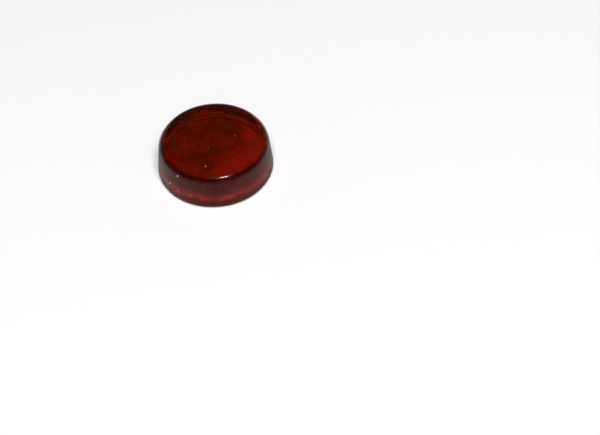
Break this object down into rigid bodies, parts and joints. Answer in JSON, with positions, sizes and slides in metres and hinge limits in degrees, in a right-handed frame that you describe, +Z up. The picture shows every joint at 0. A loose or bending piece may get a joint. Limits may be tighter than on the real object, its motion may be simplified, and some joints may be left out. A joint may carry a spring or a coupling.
{
  "type": "rosin cake",
  "caption": "Round cake of translucent dark red bow rosin, narrow end up, with a flat rounded-edge top and a shallow dish underneath.",
  "frame": {"origin": "middle of the plane that the cake stands on", "axes": "+Z up along the cake's own axis, through the narrow top face that the bow hair is drawn across; X and Y are free, because the cake is round"},
  "size_m": [0.045, 0.045, 0.015],
  "materials": {
    "resin": "hard translucent rosin, glossy and dark red on top, hazy and dusty with fine scratches on the side"
  },
  "bodies": {
    "root": {"rosin_cake": "resin"}
  },
  "joints": []
}
